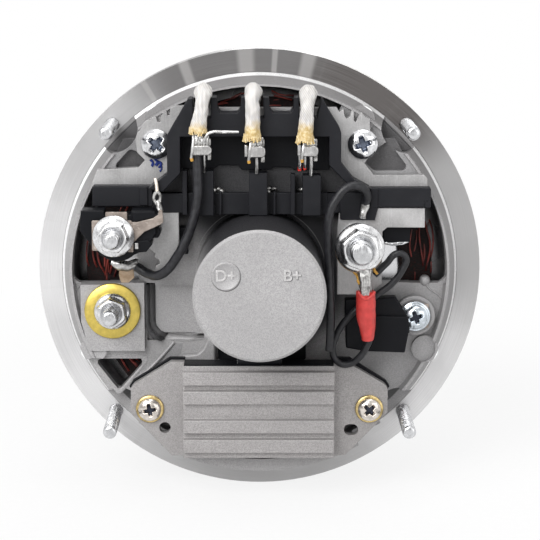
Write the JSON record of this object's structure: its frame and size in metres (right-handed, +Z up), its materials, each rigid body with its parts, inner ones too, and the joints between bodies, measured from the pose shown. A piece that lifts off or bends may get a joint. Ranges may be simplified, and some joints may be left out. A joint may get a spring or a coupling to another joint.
{
  "type": "claw-pole alternator",
  "caption": "Claw-pole car alternator with a round mounting ring, its rear cover off: cast end shields, rectifier, finned regulator, brushes, bearings and a rotor that turns.",
  "frame": {"origin": "on the shaft axis, at the rear face of the mounting ring", "axes": "+Y along the shaft to the drive end, so -Y faces the rear terminals; +Z up; +X to the right seen from behind"},
  "size_m": [0.165, 0.18, 0.165],
  "materials": {
    "cast_aluminium": "fine shot-blasted casting",
    "zinc_steel": "bright zinc plating",
    "yellow_zinc": "yellow passivated zinc",
    "lamination_steel": "varnished laminations",
    "enamelled_copper": "enamelled wire",
    "ground_steel": "ground",
    "pole_steel": "forged and turned",
    "copper": "polished running surface",
    "carbon": "pressed carbon",
    "black_plastic": "moulded, slightly glossy",
    "regulator_alloy": "die cast, matt",
    "plate_aluminium": "pressed plate",
    "tinned_copper": "tinned",
    "red_plastic": "heat-shrunk sleeve",
    "white_sleeving": "varnished glass-fibre sleeving",
    "black_insulation": "wire insulation"
  },
  "bodies": {
    "casing": {"drive_end_shield": "cast_aluminium", "slip_ring_end_shield": "cast_aluminium", "mounting_studs": "zinc_steel", "through_bolts": "zinc_steel", "stator_core": "lamination_steel", "stator_winding": "enamelled_copper", "ball_bearings": "ground_steel", "inner_brush_spring": "ground_steel", "outer_brush_spring": "ground_steel", "brush_holder": "black_plastic", "regulator_housing": "regulator_alloy", "negative_heat_sink": "plate_aluminium", "negative_diodes": "black_plastic", "positive_heat_sink": "plate_aluminium", "positive_diodes": "black_plastic", "rectifier_carrier": "black_plastic", "b_plus_stud": "zinc_steel", "b_plus_nut": "zinc_steel", "b_plus_spacer_nut": "zinc_steel", "capacitor_ring_lug": "tinned_copper", "red_lug_sleeve": "red_plastic", "d_plus_stud": "zinc_steel", "d_plus_nut": "zinc_steel", "d_plus_terminal_block": "black_plastic", "d_plus_tab": "tinned_copper", "tap_lug": "tinned_copper", "ground_stud": "zinc_steel", "ground_nut": "zinc_steel", "ground_washer": "yellow_zinc", "suppression_capacitor": "black_plastic", "capacitor_bracket": "tinned_copper", "phase_lead_sleeves": "white_sleeving", "phase_terminals": "tinned_copper", "phase_tap_lead": "black_insulation", "regulator_lead": "black_insulation", "capacitor_lead": "black_insulation"},
    "rotor": {"rotor_shaft": "ground_steel", "slip_ring_side_claw_pole": "pole_steel", "drive_side_claw_pole": "pole_steel", "field_coil": "enamelled_copper", "slip_rings": "copper"},
    "inner_brush_body": {"inner_brush": "carbon"},
    "outer_brush_body": {"outer_brush": "carbon"}
  },
  "joints": [
    {"name": "rotor_spin", "type": "hinge", "parent": "casing", "child": "rotor", "pos_m": [0, 0, 0], "axis": [0, 1, 0], "continuous": true},
    {"name": "inner_brush_slide", "type": "slide", "parent": "casing", "child": "inner_brush_body", "axis": [0, 0, -1], "range_m": [0, 0.006], "stiffness_N_per_m": 150, "springref_m": -0.02, "deforming": ["inner_brush_spring"]},
    {"name": "outer_brush_slide", "type": "slide", "parent": "casing", "child": "outer_brush_body", "axis": [0, 0, -1], "range_m": [0, 0.006], "stiffness_N_per_m": 150, "springref_m": -0.02, "deforming": ["outer_brush_spring"]}
  ]
}
